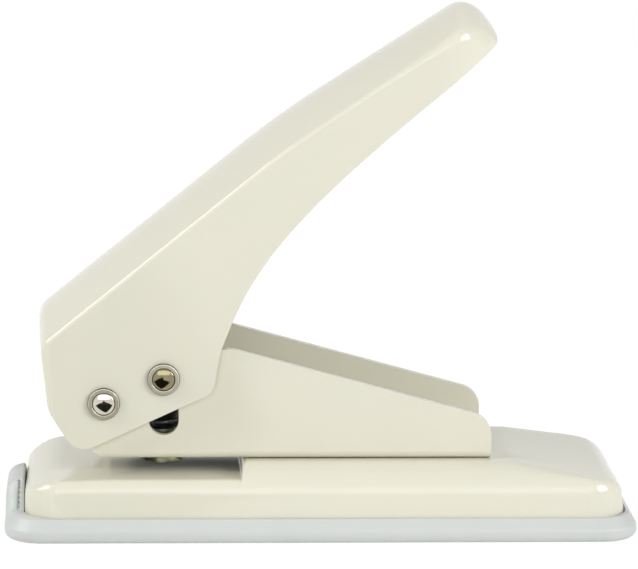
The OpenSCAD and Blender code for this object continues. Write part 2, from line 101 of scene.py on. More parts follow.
def round_corner(bm, vert, radius, segments=6):
    """Rounds one corner of a chain to a radius."""
    first, second = [(edge.other_vert(vert).co - vert.co) for edge in vert.link_edges]
    reach = radius / math.tan(first.angle(second) / 2)
    bmesh.ops.bevel(bm, geom=[vert], offset=reach, offset_type='OFFSET', segments=segments,
                    profile=0.5, affect='VERTICES', material=-1)


# %% [markdown]
# ## Materials: a few helpers
# Colours are picked as they show on a screen, as hex values, but Blender computes with linear light. One
# function converts them. Pattern sizes are given in millimetres, and another turns them to Blender's scale,
# which counts repeats in a metre. A third adds a node with its settings and links, and a fourth starts a
# material, so that every finish below reads as a short list.

# %% Colour, pattern scale, a node with its links, and a new finish


def linear(hex_colour):
    """Linear colour from an sRGB hex value."""
    parts = [int(hex_colour[i:i + 2], 16) / 255 for i in (1, 3, 5)]
    return [c / 12.92 if c <= 0.04045 else ((c + 0.055) / 1.055) ** 2.4 for c in parts] + [1]


def repeats(size_mm):
    """Texture scale of a pattern that repeats after a size in millimetres."""
    return 1000 / size_mm


def add(tree, kind, settings=None, links=None):
    """Adds a node. Settings and links go to a socket by name or number, or to a property by name."""
    node = tree.nodes.new(kind)
    for key, value in (settings or {}).items():
        if isinstance(key, str) and hasattr(node, key):
            setattr(node, key, value)
        else:
            node.inputs[key].default_value = value
    for key, socket in (links or {}).items():
        tree.links.new(socket, node.inputs[key])
    return node


def new_finish(name, **sockets):
    """Starts a material and sets the sockets of its shader that are the same all over."""
    finish = bpy.data.materials.new(name)
    finish.use_nodes = True
    shader = finish.node_tree.nodes["Principled BSDF"]
    for socket, value in sockets.items():
        shader.inputs[socket.replace("_", " ")].default_value = value
    return finish, finish.node_tree, shader


# %% [markdown]
# ## Stoved enamel
# The handle, the frame and the base are steel sheet, sprayed with cream enamel and baked. The paint flows
# before it sets, so it is glossy with a very faint orange peel, and its colour clouds a little where the
# coat is thicker. The gloss could be a clear coat over a matt base, but enamel is one layer, so a single
# low roughness is closer.

# %% Stoved cream enamel
ENAMEL_CLOUD = 14
ENAMEL_PEEL = 1.6
enamel, tree, shader = new_finish("stoved_cream_enamel", IOR=1.5)
place = add(tree, "ShaderNodeTexCoord")
cloud = add(tree, "ShaderNodeTexNoise", {"Scale": repeats(ENAMEL_CLOUD), "Detail": 3},
            {"Vector": place.outputs["Object"]})
tint = add(tree, "ShaderNodeMix", {"data_type": 'RGBA', 6: linear("#DFDDCC"), 7: linear("#E4E1CF")},
           {0: cloud.outputs["Fac"]})
gloss = add(tree, "ShaderNodeMapRange", {"To Min": 0.12, "To Max": 0.17}, {"Value": cloud.outputs["Fac"]})
peel = add(tree, "ShaderNodeTexNoise", {"Scale": repeats(ENAMEL_PEEL), "Detail": 1},
           {"Vector": place.outputs["Object"]})
flow = add(tree, "ShaderNodeBump", {"Strength": 0.05, "Distance": 0.05 * MM},
           {"Height": peel.outputs["Fac"]})
tree.links.new(tint.outputs[2], shader.inputs["Base Color"])
tree.links.new(gloss.outputs["Result"], shader.inputs["Roughness"])
tree.links.new(flow.outputs["Normal"], shader.inputs["Normal"])
print("enamel with clouds of", ENAMEL_CLOUD, "mm and peel of", ENAMEL_PEEL, "mm")

# %% [markdown]
# ## Moulded polyethylene
# The tray pulls off by hand, so it is soft, whitish polyethylene. The mould is spark eroded, which leaves
# a fine satin grain, and a little light goes into the plastic. Subsurface light would show that on a thick
# piece. On walls of two millimetres a satin roughness and a cool white say enough, with a trace of
# subsurface. The grain is drawn coarser than the real one of a tenth of a millimetre, or it would be lost
# at this distance.

# %% Moulded polyethylene
GRAIN, FLOW_MARK = 0.5, 30
plastic, tree, shader = new_finish("moulded_polyethylene", IOR=1.51, Subsurface_Weight=0.1,
                                   Subsurface_Scale=1 * MM)
place = add(tree, "ShaderNodeTexCoord")
grain = add(tree, "ShaderNodeTexNoise", {"Scale": repeats(GRAIN), "Detail": 2},
            {"Vector": place.outputs["Object"]})
flow_mark = add(tree, "ShaderNodeTexNoise", {"Scale": repeats(FLOW_MARK), "Detail": 2},
                {"Vector": place.outputs["Object"]})
tint = add(tree, "ShaderNodeMix", {"data_type": 'RGBA', 6: linear("#C9CDCA"), 7: linear("#D0D3D0")},
           {0: flow_mark.outputs["Fac"]})
satin = add(tree, "ShaderNodeMapRange", {"To Min": 0.38, "To Max": 0.5}, {"Value": grain.outputs["Fac"]})
erosion = add(tree, "ShaderNodeBump", {"Strength": 0.1, "Distance": 0.05 * MM},
              {"Height": grain.outputs["Fac"]})
tree.links.new(tint.outputs[2], shader.inputs["Base Color"])
tree.links.new(satin.outputs["Result"], shader.inputs["Roughness"])
tree.links.new(erosion.outputs["Normal"], shader.inputs["Normal"])
print("plastic with a grain of", GRAIN, "mm")

# %% [markdown]
# ## Metals
# The rest is metal without paint. The pins are nickel plated, the die and the guide are ground tool steel,
# the small hidden pieces are zinc plated and the spring is drawn wire. The punch is coloured nearly black
# as painted shade, and some rows below are painted shade or a painted reflection.
# They differ in colour, in roughness and in the mark that the tool left. One loop makes them, with a noise
# that is stretched along the mark. The marks are drawn coarser than real ones, or they would be lost at
# this distance.

# %% Nickel, tool steel, zinc, spring wire and oxides
# Each row holds a dark and a light tint, how metallic it is, the least and the most roughness, and the
# mark's size along x, y and z in millimetres.
METALS = {
    # Buffed under the rivet set: a clear mirror
    "polished_nickel": ("#C9C4B6", "#D8D3C5", 1, 0.05, 0.09, (3, 3, 3)),
    # Painted shade: a darker, yellower copy of the polished mirror, for the drive pin's point
    "painted_shade_nickel": ("#857D60", "#9C9475", 1, 0.08, 0.14, (2, 2, 2)),
    # Plating as it leaves the bath: soft and bright
    "satin_nickel": ("#E0DBC6", "#ECE7D3", 1, 0.35, 0.5, (0.4, 0.4, 0.4)),
    # Painted shade: dark lines round the pins' bright parts and in the die's chamfer
    "painted_shade_line": ("#45423A", "#5A564B", 1, 0.4, 0.55, (0.6, 0.6, 0.6)),
    # Painted shade: nearly black steel for the punch, so the frame's slot reads dark; a dull sheen along the
    # rod
    "painted_shade_steel": ("#2B2D2B", "#3A3C39", 0.7, 0.3, 0.42, (0.3, 0.3, 4)),
    # Ground after hardening: grey, with fine lines along the axis
    "ground_tool_steel": ("#83847F", "#93948F", 1, 0.24, 0.38, (0.3, 0.3, 4)),
    # Painted reflection and light: a pale khaki bore for the die, bright deep in the shaded gap
    "painted_lit_bore": ("#E0DFB6", "#E8E7BE", 1, 0.28, 0.32, (3, 3, 3)),
    # Painted shade: a dull, dark sheet colour on the frame's floor that darkens the gap under the frame
    "painted_shade_sheet": ("#4A4B49", "#5C5D5A", 0.6, 0.45, 0.6, (4, 0.5, 0.5)),
    # Barrel plated: a light grey with a faint crystal mottle
    "zinc_plate": ("#A5A8A6", "#B9BBB7", 1, 0.32, 0.46, (1.5, 1.5, 1.5)),
    # Drawn through a die: bluish grey, with lines round the coil
    "drawn_spring_wire": ("#6F7375", "#85898B", 1, 0.22, 0.34, (2, 2, 0.3)),
}
metal = {}
for name, (dark, light, bare, smooth, rough, mark_mm) in METALS.items():
    metal[name], tree, shader = new_finish(name, Metallic=bare)
    place = add(tree, "ShaderNodeTexCoord")
    stretch = add(tree, "ShaderNodeMapping", {"Scale": [repeats(size) for size in mark_mm]},
                  {"Vector": place.outputs["Object"]})
    mark = add(tree, "ShaderNodeTexNoise", {"Scale": 1, "Detail": 3}, {"Vector": stretch.outputs["Vector"]})
    tint = add(tree, "ShaderNodeMix", {"data_type": 'RGBA', 6: linear(dark), 7: linear(light)},
               {0: mark.outputs["Fac"]})
    satin = add(tree, "ShaderNodeMapRange", {"To Min": smooth, "To Max": rough},
                {"Value": mark.outputs["Fac"]})
    tree.links.new(tint.outputs[2], shader.inputs["Base Color"])
    tree.links.new(satin.outputs["Result"], shader.inputs["Roughness"])
print("metals:", ", ".join(metal))

# %% [markdown]
# ## The chip tray
# The tray is one moulding: a floor, a wall with a rounded lower edge, a sloping rim, and a ledge inside on
# which the base stands. It could be modelled as a box with bevels. A stack of rounded rings is closer to
# the drawing, since each ring is one line of the section: a plane gets its corners by a vertex bevel, its
# face goes, and neighbouring rings are bridged.

# %% A rounded ring, and a stack of rings
CORNER_STEPS = 8


def ring(bm, x0, x1, width, radius, z):
    """Draws one rounded rectangle and returns its edges."""
    known = set(bm.edges)
    plane = bmesh.ops.create_grid(bm, x_segments=1, y_segments=1, size=0.5)["verts"]
    bmesh.ops.scale(bm, vec=(x1 - x0, width, 1), verts=plane)
    bmesh.ops.translate(bm, vec=((x0 + x1) / 2, 0, z), verts=plane)
    bmesh.ops.bevel(bm, geom=plane, offset=radius, offset_type='OFFSET', segments=CORNER_STEPS,
                    profile=0.5, affect='VERTICES', material=-1)
    edges = [edge for edge in bm.edges if edge not in known]
    bmesh.ops.delete(bm, geom=list({face for edge in edges for face in edge.link_faces}),
                     context='FACES_ONLY')
    return edges


def stack(bm, rings, ends):
    """Bridges each ring to the next one and closes the rings at the ends that are named."""
    loops = [ring(bm, *size) for size in rings]
    for lower, upper in zip(loops, loops[1:]):
        bmesh.ops.bridge_loops(bm, edges=lower + upper)
    for end in ends:
        bmesh.ops.contextual_create(bm, geom=loops[end])


# %% The tray's body
TRAY_END, TRAY_W, TRAY_CORNER = 59.65, 45, 7
LOWER_R = 1.4
# Pairs of inset and height, from the foot up: the rounded lower edge, the wall and the sloping rim
section = []
for step in range(5):
    turn = math.radians(22.5 * step)
    section.append((LOWER_R * (1 - math.sin(turn)), LOWER_R * (1 - math.cos(turn))))
section += [(0, 2.1), (0.07, 2.42), (0.27, 2.7), (1.55, 4.27), (1.7, 4.42)]
rings = [(inset - TRAY_END, TRAY_END - inset, TRAY_W - 2 * inset, TRAY_CORNER - inset, z)
         for inset, z in section]
LEDGE, TRAY_FLOOR = 2.6, 1.6
# Then down inside: the rim's lip, the wall round the base, the ledge and the floor
rings += [(-56.3, 57.88, 41.46, 7.9, 4.5), (-56.15, 57.8, 41.3, 7.85, 4.4),
          (-56.15, 57.8, 41.3, 7.85, LEDGE), (-53.6, 55.25, 36.2, 5.3, LEDGE),
          (-53.6, 55.25, 36.2, 5.3, TRAY_FLOOR)]
tray = bmesh.new()
stack(tray, rings, (0, -1))
print("the tray's section has", len(rings), "lines")

# %% [markdown]
# The tray comes off by a pull tab at the front, with flanks that run down to the rim. A flex line in each
# flank lets the tab give under a thumb. The tab's outline is a chain with round corners and a little draft,
# so that it leaves the mould. It is filled and extruded in steps: flank, tab, flank. The flanks then sink to
# the rim in a soft wave, as a mould cutter leaves them, and their ends dive into the tray. Planes mark out
# the flex lines, and the faces between them are extruded inwards.

# %% The tray's pull tab


def only(kind, geom):
    """The elements of one kind among an operator's results."""
    return [part for part in geom if isinstance(part, kind)]


TAB_FRONT, TAB_BACK, TAB_FOOT, DRAFT = -TRAY_END, -56.05, 1.2, 0.3
TAB_FRONT_Z, TAB_BACK_Z, TAB_ROUND, TAB_EDGE = 8.2, 9.2, 2.8, 0.5
TAB_HALF, FLANK, FLANK_STEPS, SINK = 4.5, 10.5, 10, 0.5
RIM_Z, RIM_X, RIM_SLOPE = 4.35, -57.95, 1.2266
tab = bmesh.new()
corners = chain(tab, [(TAB_FRONT + DRAFT, 0, TAB_FOOT), (TAB_FRONT, 0, TAB_FRONT_Z),
                      (TAB_BACK, 0, TAB_BACK_Z), (TAB_BACK, 0, TAB_FOOT)], closed=True)
round_corner(tab, corners[1], TAB_ROUND)
round_corner(tab, corners[2], TAB_EDGE)
bmesh.ops.translate(tab, vec=(0, -TAB_HALF - FLANK, 0), verts=tab.verts)
part = bmesh.ops.contextual_create(tab, geom=tab.edges[:])["faces"]
for step in range(2 * FLANK_STEPS + 1):
    moved = bmesh.ops.extrude_face_region(tab, geom=part, use_keep_orig=step == 0)["geom"]
    part = only(bmesh.types.BMFace, moved)
    length = 2 * TAB_HALF if step == FLANK_STEPS else FLANK / FLANK_STEPS
    bmesh.ops.translate(tab, vec=(0, length, 0), verts=part[0].verts)
for vert in tab.verts:
    rise = (1 + math.cos(math.pi * min(1, max(0, abs(vert.co.y) - TAB_HALF) / FLANK))) / 2
    rim = min(vert.co.z, RIM_Z - RIM_SLOPE * max(0, RIM_X - vert.co.x))
    vert.co.z = rim + (vert.co.z - rim) * rise
    if rise < 0.001:
        vert.co.z -= SINK
        vert.co.x = max(vert.co.x, TAB_FRONT + SINK)
print("the tab has", len(tab.faces), "faces")

# %% The tab's flex lines
X_AXIS, Y_AXIS = Vector((1, 0, 0)), Vector((0, 1, 0))


def all_of(bm):
    """Every vertex, edge and face of a drawing, as operators ask for them."""
    return bm.verts[:] + bm.edges[:] + bm.faces[:]


def cut_across(bm, axis, places):
    """Cuts a drawing by planes across an axis."""
    for place in places:
        bmesh.ops.bisect_plane(bm, geom=all_of(bm), dist=0.0001, plane_co=axis * place, plane_no=axis)


FLEX_X, FLEX_HALF, FLEX_DEPTH = -57.05, 0.22, 0.5
FLEX_FROM, FLEX_TO = TAB_HALF + 1.5, TAB_HALF + FLANK - 1.6
cut_across(tab, X_AXIS, (FLEX_X - FLEX_HALF, FLEX_X + FLEX_HALF))
cut_across(tab, Y_AXIS, (-FLEX_TO, -FLEX_FROM, FLEX_FROM, FLEX_TO))
for way in (-1, 1):
    line = []
    for face in tab.faces:
        spot = face.calc_center_median()
        if abs(spot.x - FLEX_X) < FLEX_HALF and FLEX_FROM < spot.y * way < FLEX_TO and spot.z > RIM_Z:
            line.append(face)
    moved = bmesh.ops.extrude_face_region(tab, geom=line)["geom"]
    bmesh.ops.translate(tab, vec=(0, 0, -FLEX_DEPTH), verts=only(bmesh.types.BMVert, moved))
    bmesh.ops.delete(tab, geom=[f for f in line if f.is_valid], context='FACES')
bmesh.ops.recalc_face_normals(tab, faces=tab.faces)
flap = bpy.data.meshes.new("flap")
tab.to_mesh(flap)
tab.free()
tray.from_mesh(flap)
bpy.data.meshes.remove(flap)
print("flex lines", FLEX_DEPTH, "mm deep")
make_piece("tray_moulding", tray, "tray", ["chip_tray"], [plastic])

# %% [markdown]
# ## The base cover
# The base is deep drawn from one sheet: soft shoulders all round, a lower deck for the paper, a step that
# stops it, and a back that slopes away. A stack of rings again gives the walls and the shoulders. Planes
# then cut the shell across wherever its side outline turns, and the outline presses it down from above,
# with a soft minimum that rounds the edges as the press does.

# %% The base's side outline
SHEET = 1.2
PLATFORM, DECK = 14, 11.3
side_chain = bmesh.new()
side_points = [(-61.776, 0.75), (-54.174, DECK), (-15.2, DECK), (-15, PLATFORM), (36.05, PLATFORM),
               (55.45, 10.7), (57.45, 7.9), (58.25, 0.75)]
side_radii = [11, 0.3, 1.2, 12, 4.5, 4.5]
side_verts = chain(side_chain, [(x, 0, z) for x, z in side_points])
for vert, radius in zip(side_verts[1:-1], side_radii):
    round_corner(side_chain, vert, radius, 8)
side_line = sorted((vert.co.x, vert.co.z) for vert in side_chain.verts)
side_chain.free()


def along(line, x):
    """Height of a line of points, sorted by x, at a place x."""
    for (x0, z0), (x1, z1) in zip(line, line[1:]):
        if x <= x1:
            return z0 + (z1 - z0) * (x - x0) / (x1 - x0)
    return line[-1][1]


def soft_min(first, second, soft):
    """The lower of two heights, with a round of a softness where they cross."""
    near = max(0, soft - abs(first - second))
    return min(first, second) - near * near / (4 * soft)


print("the base's outline has", len(side_line), "points")

# %% The base's walls and shoulders, drawn up ring by ring
FOOT, LEAN, FRONT_LEAN, SHOULDER, SHOULDER_STEPS = 2.9, 0.6, 0.15, 6.5, 12
BASE_FRONT, BASE_REAR, BASE_W, BASE_CORNER = -56, 57.65, 41, 7.7
section = [(0, FOOT)]
for step in range(SHOULDER_STEPS + 1):
    turn = math.radians(90 * step / SHOULDER_STEPS)
    section.append((LEAN + SHOULDER * (1 - math.cos(turn)), PLATFORM - SHOULDER * (1 - math.sin(turn))))
base = bmesh.new()
rings = [(BASE_FRONT + max(0, inset - LEAN + FRONT_LEAN), BASE_REAR - inset, BASE_W - 2 * inset,
          BASE_CORNER - inset, z) for inset, z in section]
stack(base, rings, (-1,))
print("drawn up to", round(max(vert.co.z for vert in base.verts), 2), "mm")

# %% The base's deck, step and sloping back
PRESS_SOFT = 1.2
PUNCH_X = -29.85
DIE_PATCH = 6
# Cuts at each turn of the outline, even ones between them, and a square round the die
cut_across(base, X_AXIS, [x for x, z in side_line if BASE_FRONT + 0.1 < x < BASE_REAR - 0.25])
cut_across(base, X_AXIS, range(-50, 56, 4))
cut_across(base, X_AXIS, (PUNCH_X - DIE_PATCH, PUNCH_X + DIE_PATCH))
cut_across(base, Y_AXIS, (-DIE_PATCH, DIE_PATCH))
# The round shrinks where the outline lies close under the platform, so that the platform stays flat
for vert in base.verts:
    pressed = along(side_line, vert.co.x)
    soft = max(0.01, min(PRESS_SOFT, 0.9 * (PLATFORM - pressed)))
    vert.co.z = soft_min(vert.co.z, pressed, soft)
on_deck = [v.co.z for v in base.verts if abs(v.co.y) < DIE_PATCH + 0.1 and -40 < v.co.x < -20]
print("deck at", round(min(on_deck), 2), "mm")

# %% The base's die hole and wall
DIE_SEAT = 4.52
inside = [face for face in base.faces if abs(face.calc_center_median().x - PUNCH_X) < DIE_PATCH
          and abs(face.calc_center_median().y) < DIE_PATCH]
bmesh.ops.delete(base, geom=inside, context='FACES')
square = [e for e in base.edges if e.is_boundary and e.verts[0].co.z > FOOT + 1]
hole = bmesh.ops.create_circle(base, segments=32, radius=DIE_SEAT,
                               matrix=Matrix.Translation((PUNCH_X, 0, DECK)))["verts"]
hole_edges = list({edge for vert in hole for edge in vert.link_edges})
bmesh.ops.bridge_loops(base, edges=square + hole_edges)
cover = make_piece("base_shell", base, "base", ["base_cover"], [enamel])
SHARP = math.radians(50)


def thicken(piece, thickness, offset, edge):
    """Gives a sheet its wall and breaks the sharp edges that the wall brings."""
    wall = piece.modifiers.new("wall", 'SOLIDIFY')
    wall.thickness = thickness * MM
    wall.offset = offset
    soft_edge = piece.modifiers.new("soft edge", 'BEVEL')
    soft_edge.width = edge * MM
    soft_edge.segments = 3
    soft_edge.limit_method = 'ANGLE'
    soft_edge.angle_limit = SHARP
    flat = piece.modifiers.new("flat faces", 'WEIGHTED_NORMAL')
    flat.keep_sharp = True
    return wall


thicken(cover, SHEET, -1, 0.2)

# %% [markdown]
# ## The frame
# The frame is a channel that carries everything: a floor and two sides, bent up from one sheet. Its sides
# slope down to the back and have a long slot for the drive pin. One side is an outline with holes, filled
# by triangle fill. Its lower edge is spun a quarter turn, which makes the bend, the side is mirrored, and a
# floor with the punch's hole joins the two. The floor is pressed a little lower than the bends, so that the
# frame stands flat and a fine dark gap stays under its sides. The faces of the floor carry a dark sheet
# colour, painted shade that darkens the gap under the frame, and the wall's other side and its cut edges go
# back to enamel. The sheet is drawn along its middle and thickened both ways.

# %% One side of the frame
PLATE, FRAME_HALF, BEND, LIFT = 1.5, 13, 1.6, 0.13
MIDDLE = FRAME_HALF - PLATE / 2
BEND_Z = PLATFORM + LIFT + BEND
channel = bmesh.new()
outline = [(-43.2, BEND_Z, 0), (32.05, BEND_Z, 0), (32.05, 21.9, 4), (-16.75, 35.2, 9), (-36.05, 35.2, 6),
           (-47.05, 31.3, 6), (-47.05, 23.3, 3)]
verts = chain(channel, [(x, MIDDLE, z) for x, z, r in outline], closed=True)
fold = [edge for edge in verts[0].link_edges if edge in verts[1].link_edges][0]
for vert, (x, z, radius) in zip(verts, outline):
    if radius:
        round_corner(channel, vert, radius, 8)
# Five degrees keep the circle's points off the line at which the slot is pulled apart
upright = Matrix.Rotation(math.radians(90), 4, 'X') @ Matrix.Rotation(math.radians(5), 4, 'Z')
SLOT_X, SLOT_Z, SLOT_R, SLOT_STRETCH = -29.8, 25.5, 2.83, 7.74
slot = bmesh.ops.create_circle(channel, segments=36, radius=SLOT_R,
                               matrix=Matrix.Translation((SLOT_X, MIDDLE, SLOT_Z)) @ upright)["verts"]
for sign in (-1, 1):
    bmesh.ops.translate(channel, vec=(0, 0, sign * SLOT_STRETCH / 2),
                        verts=[v for v in slot if (v.co.z - SLOT_Z) * sign > 0
                               and abs(v.co.z - SLOT_Z) < SLOT_R + 0.1])
PIVOT_X, PIVOT_Z, PIN_HOLE = -41.05, 25.3, 2.05
bmesh.ops.create_circle(channel, segments=32, radius=PIN_HOLE,
                        matrix=Matrix.Translation((PIVOT_X, MIDDLE, PIVOT_Z)) @ upright)
bmesh.ops.triangle_fill(channel, edges=channel.edges[:], use_beauty=True, normal=(0, 1, 0))
print("the frame's side has", len(channel.faces), "faces")

# %% The frame's bend, its other side and its floor
TIP_X, TIP_R = -39.75, 4
PRESSED = 1.5
FLOOR_Z = PLATFORM + PLATE / 2
bmesh.ops.spin(channel, geom=[fold, *fold.verts], cent=(0, FRAME_HALF - BEND, BEND_Z), axis=(1, 0, 0),
               angle=math.radians(-90), steps=6)
hem = [e for e in channel.edges if all(abs(v.co.z - FLOOR_Z - LIFT) < 0.01 for v in e.verts)]
moved = bmesh.ops.extrude_edge_only(channel, edges=hem)["geom"]
bmesh.ops.translate(channel, vec=(0, -PRESSED, -LIFT), verts=only(bmesh.types.BMVert, moved))
# The front ends of the bends follow an arc, from the sides down to the floor
for vert in channel.verts:
    if vert.co.z < BEND_Z - 0.01 and vert.co.x < PIVOT_X:
        height = (vert.co.z - FLOOR_Z) / (BEND_Z - FLOOR_Z) * (BEND + LIFT)
        vert.co.x = TIP_X - math.sqrt(max(0, height * (2 * TIP_R - height)))
bmesh.ops.mirror(channel, geom=all_of(channel), axis='Y', matrix=Matrix.Identity(4), merge_dist=0.001)
bmesh.ops.remove_doubles(channel, verts=channel.verts, dist=WELD)
seams = [e for e in channel.edges if all(abs(v.co.z - FLOOR_Z) < 0.01 for v in e.verts)]
ends = [v for e in seams for v in e.verts]
for front in (True, False):
    pair = [v for v in ends if (v.co.x < 0) == front]
    seams.append(channel.edges.new(pair))
GUIDE_SEAT = 3.67
seat = bmesh.ops.create_circle(channel, segments=32, radius=GUIDE_SEAT,
                               matrix=Matrix.Translation((PUNCH_X, 0, FLOOR_Z)))["verts"]
seams += {edge for vert in seat for edge in vert.link_edges}
floor_faces = bmesh.ops.triangle_fill(channel, edges=seams, use_beauty=True, normal=(0, 0, -1))["geom"]
# The floor's faces get a dark sheet colour: painted shade for the gap under the frame
for face in only(bmesh.types.BMFace, floor_faces):
    face.material_index = 1
channel_piece = make_piece("frame_channel", channel, "base", ["frame"],
                           [enamel, metal["painted_shade_sheet"]])
channel_wall = thicken(channel_piece, PLATE, 0, 0.25)
channel_wall.material_offset = channel_wall.material_offset_rim = -1

# %% [markdown]
# ## The handle
# The handle is a long hood, pressed from one sheet: a gently crowned back, a crisp fold on each side that
# softens towards the grip, and two cheeks that hang down over the frame. A hood is a section that travels,
# so the half outline of its section is extruded from the front to the grip, and each new line is moved to
# the place that the drawing gives. Near the front the lines lean with the front face, so that its rounded
# corners stay clean. At the grip a steep line cuts the back off, and the soft minimum of the base's press
# rounds the two into each other.

# %% The handle's lower outline
LEAN_TAN = math.tan(math.radians(6.5))
FRONT_X = PIVOT_X - 10.65
GRIP_X, GRIP_Z = 32.65, 91.8
corner = Vector((-20.55, 27.321))
pulls = [corner + Vector((1.1, 7.4)), corner + Vector((6.6, 21.7)), Vector((GRIP_X - 43.9, GRIP_Z - 33.9)),
         Vector((GRIP_X - 1.3, GRIP_Z - 0.2))]
UNDER_STEPS = 22
under = []
for step in range(UNDER_STEPS + 1):
    t = step / UNDER_STEPS
    weights = ((1 - t) ** 3, 3 * t * (1 - t) ** 2, 3 * t * t * (1 - t), t ** 3)
    under.append(sum((weight * pull for weight, pull in zip(weights, pulls)), Vector((0, 0))))
ABOVE, BELOW = 20, 1.3
low_points = [(FRONT_X - ABOVE * LEAN_TAN, PIVOT_Z + ABOVE, 0),
              (FRONT_X + BELOW * LEAN_TAN, PIVOT_Z - BELOW, 5), (-46.1, 15.5, 3.8),
              (corner.x, corner.y, 3), (*under[0], 12)]
low_points += [(p.x, p.y, 0) for p in under[1:-1]]
low_points.append((GRIP_X, GRIP_Z + 0.8, 0))
low_chain = bmesh.new()
for vert, (x, z, radius) in zip(chain(low_chain, [(x, 0, z) for x, z, r in low_points]), low_points):
    if radius:
        round_corner(low_chain, vert, radius, 10)
low_line = sorted((vert.co.x, vert.co.z) for vert in low_chain.verts)
low_chain.free()
print("the handle's lower outline has", len(low_line), "points")

# %% The handle's back, width and fold
SLOPE, BACK_OFF = math.radians(39.3), 19.7
BEND_X, BEND_L, BEND_RATE = -16.05, 16, 0.0106
END_RISE, END_SLOPE, END_SOFT = 1.77, 1.75, 10.55
TIP_PLAN, TIP_NARROW = 12.075, 0.9
HANDLE_HALF, GRIP_HALF = 15, 13.5
CROWN, GRIP_CROWN = 3.9, 3
FOLD, TIP_FOLD, FOLD_RUN = 1.3, 5.5, 26


def share(x, start, length):
    """How far x is along a stretch, from 0 to 1."""
    return min(1, max(0, (x - start) / length))


def back_height(x):
    """Height of the back's middle line: straight, a gentle bend, and a steep end."""
    past = max(0, x - BEND_X)
    run = min(past, BEND_L)
    line = PIVOT_Z + BACK_OFF / math.cos(SLOPE) + (x - PIVOT_X) * math.tan(SLOPE)
    end = GRIP_Z + END_RISE + END_SLOPE * (GRIP_X - x)
    return soft_min(line - BEND_RATE * run * (past - run / 2), end, END_SOFT)


def half_width(x):
    """Half the handle's width: it tapers to the grip and rounds in at the end."""
    u = TIP_NARROW * share(x, GRIP_X - TIP_PLAN, TIP_PLAN)
    straight = HANDLE_HALF + (GRIP_HALF - HANDLE_HALF) * share(x, BEND_X, GRIP_X - BEND_X)
    return straight * math.sqrt(1 - u * u)


def fold_radius(x):
    """The fold is tight at the front and wide at the grip."""
    return FOLD + (TIP_FOLD - FOLD) * share(x, GRIP_X - FOLD_RUN, FOLD_RUN) ** 2


def crown_drop(x):
    """How far the back falls from its middle to its sides. The grip is flatter than the front."""
    return (CROWN + (GRIP_CROWN - CROWN) * share(x, BEND_X, GRIP_X - BEND_X)) / math.cos(SLOPE)


print("the back rises to", round(max(back_height(x / 4) for x in range(80, 131)), 1), "mm")

# %% The handle's section at a station
FRONT_ROUND, LEAN_KEPT, LEAN_FADE, SIDE_MIN = 1.6, 10, 16, 0.4
SIDE_STEPS, FOLD_STEPS, CROWN_STEPS = 6, 7, 8
# Rounds until a point has settled on its leaning line, and the part of the fold that the crown gives up
SETTLE, FOLD_PART = 4, 0.65


def lean_at(station):
    """Share of the front's lean that a line keeps at a distance behind the front."""
    return 1 - share(station, LEAN_KEPT, LEAN_FADE)


def shifted(station, z):
    """Place x of a point of a station's line at a height z."""
    return FRONT_X + station - lean_at(station) * (z - PIVOT_Z) * LEAN_TAN


def lower_edge(station):
    """Height at which a station's line meets the lower outline."""
    for (x0, z0), (x1, z1) in zip(low_line, low_line[1:]):
        g0, g1 = x0 - shifted(station, z0), x1 - shifted(station, z1)
        if g1 > 0.0001:
            return z0 + (z1 - z0) * max(0, -g0 / (g1 - g0))
    return low_line[-1][1]


def half_section(station):
    """Points of half a section, from the cheek's lower edge up to the middle of the back."""
    gap = max(0, FRONT_ROUND - station)
    corner_in = FRONT_ROUND - math.sqrt(FRONT_ROUND ** 2 - gap ** 2)
    z_low = lower_edge(station)
    x_low = shifted(station, z_low)
    top_x = x_low
    for _ in range(SETTLE):
        top_x = shifted(station, back_height(top_x))
    width, fold = half_width(top_x) - corner_in, fold_radius(top_x)
    crown = crown_drop(top_x)
    tilt = math.atan(2 * crown * (width - FOLD_PART * fold) / width ** 2)
    edge = width - fold * (1 - math.sin(tilt))
    drops = [(edge * k / CROWN_STEPS, crown * (edge * k / CROWN_STEPS / width) ** 2)
             for k in range(CROWN_STEPS + 1)]
    for k in range(1, FOLD_STEPS + 1):
        a = tilt + (math.pi / 2 - tilt) * k / FOLD_STEPS
        drops.append((edge + fold * (math.sin(a) - math.sin(tilt)),
                      drops[CROWN_STEPS][1] + fold * (math.cos(tilt) - math.cos(a))))
    room = back_height(top_x) - corner_in - z_low - SIDE_MIN
    squeeze = min(1, room / drops[-1][1])
    points = []
    for y, drop in drops:
        x = top_x
        for _ in range(SETTLE):
            x = shifted(station, back_height(x) - corner_in - drop * squeeze)
        points.append((x, y, back_height(x) - corner_in - drop * squeeze))
    fold_z = points[-1][2]
    for k in range(1, SIDE_STEPS + 1):
        z = fold_z + (z_low - fold_z) * k / SIDE_STEPS
        points.append((shifted(station, z), width, z))
    return points[::-1]


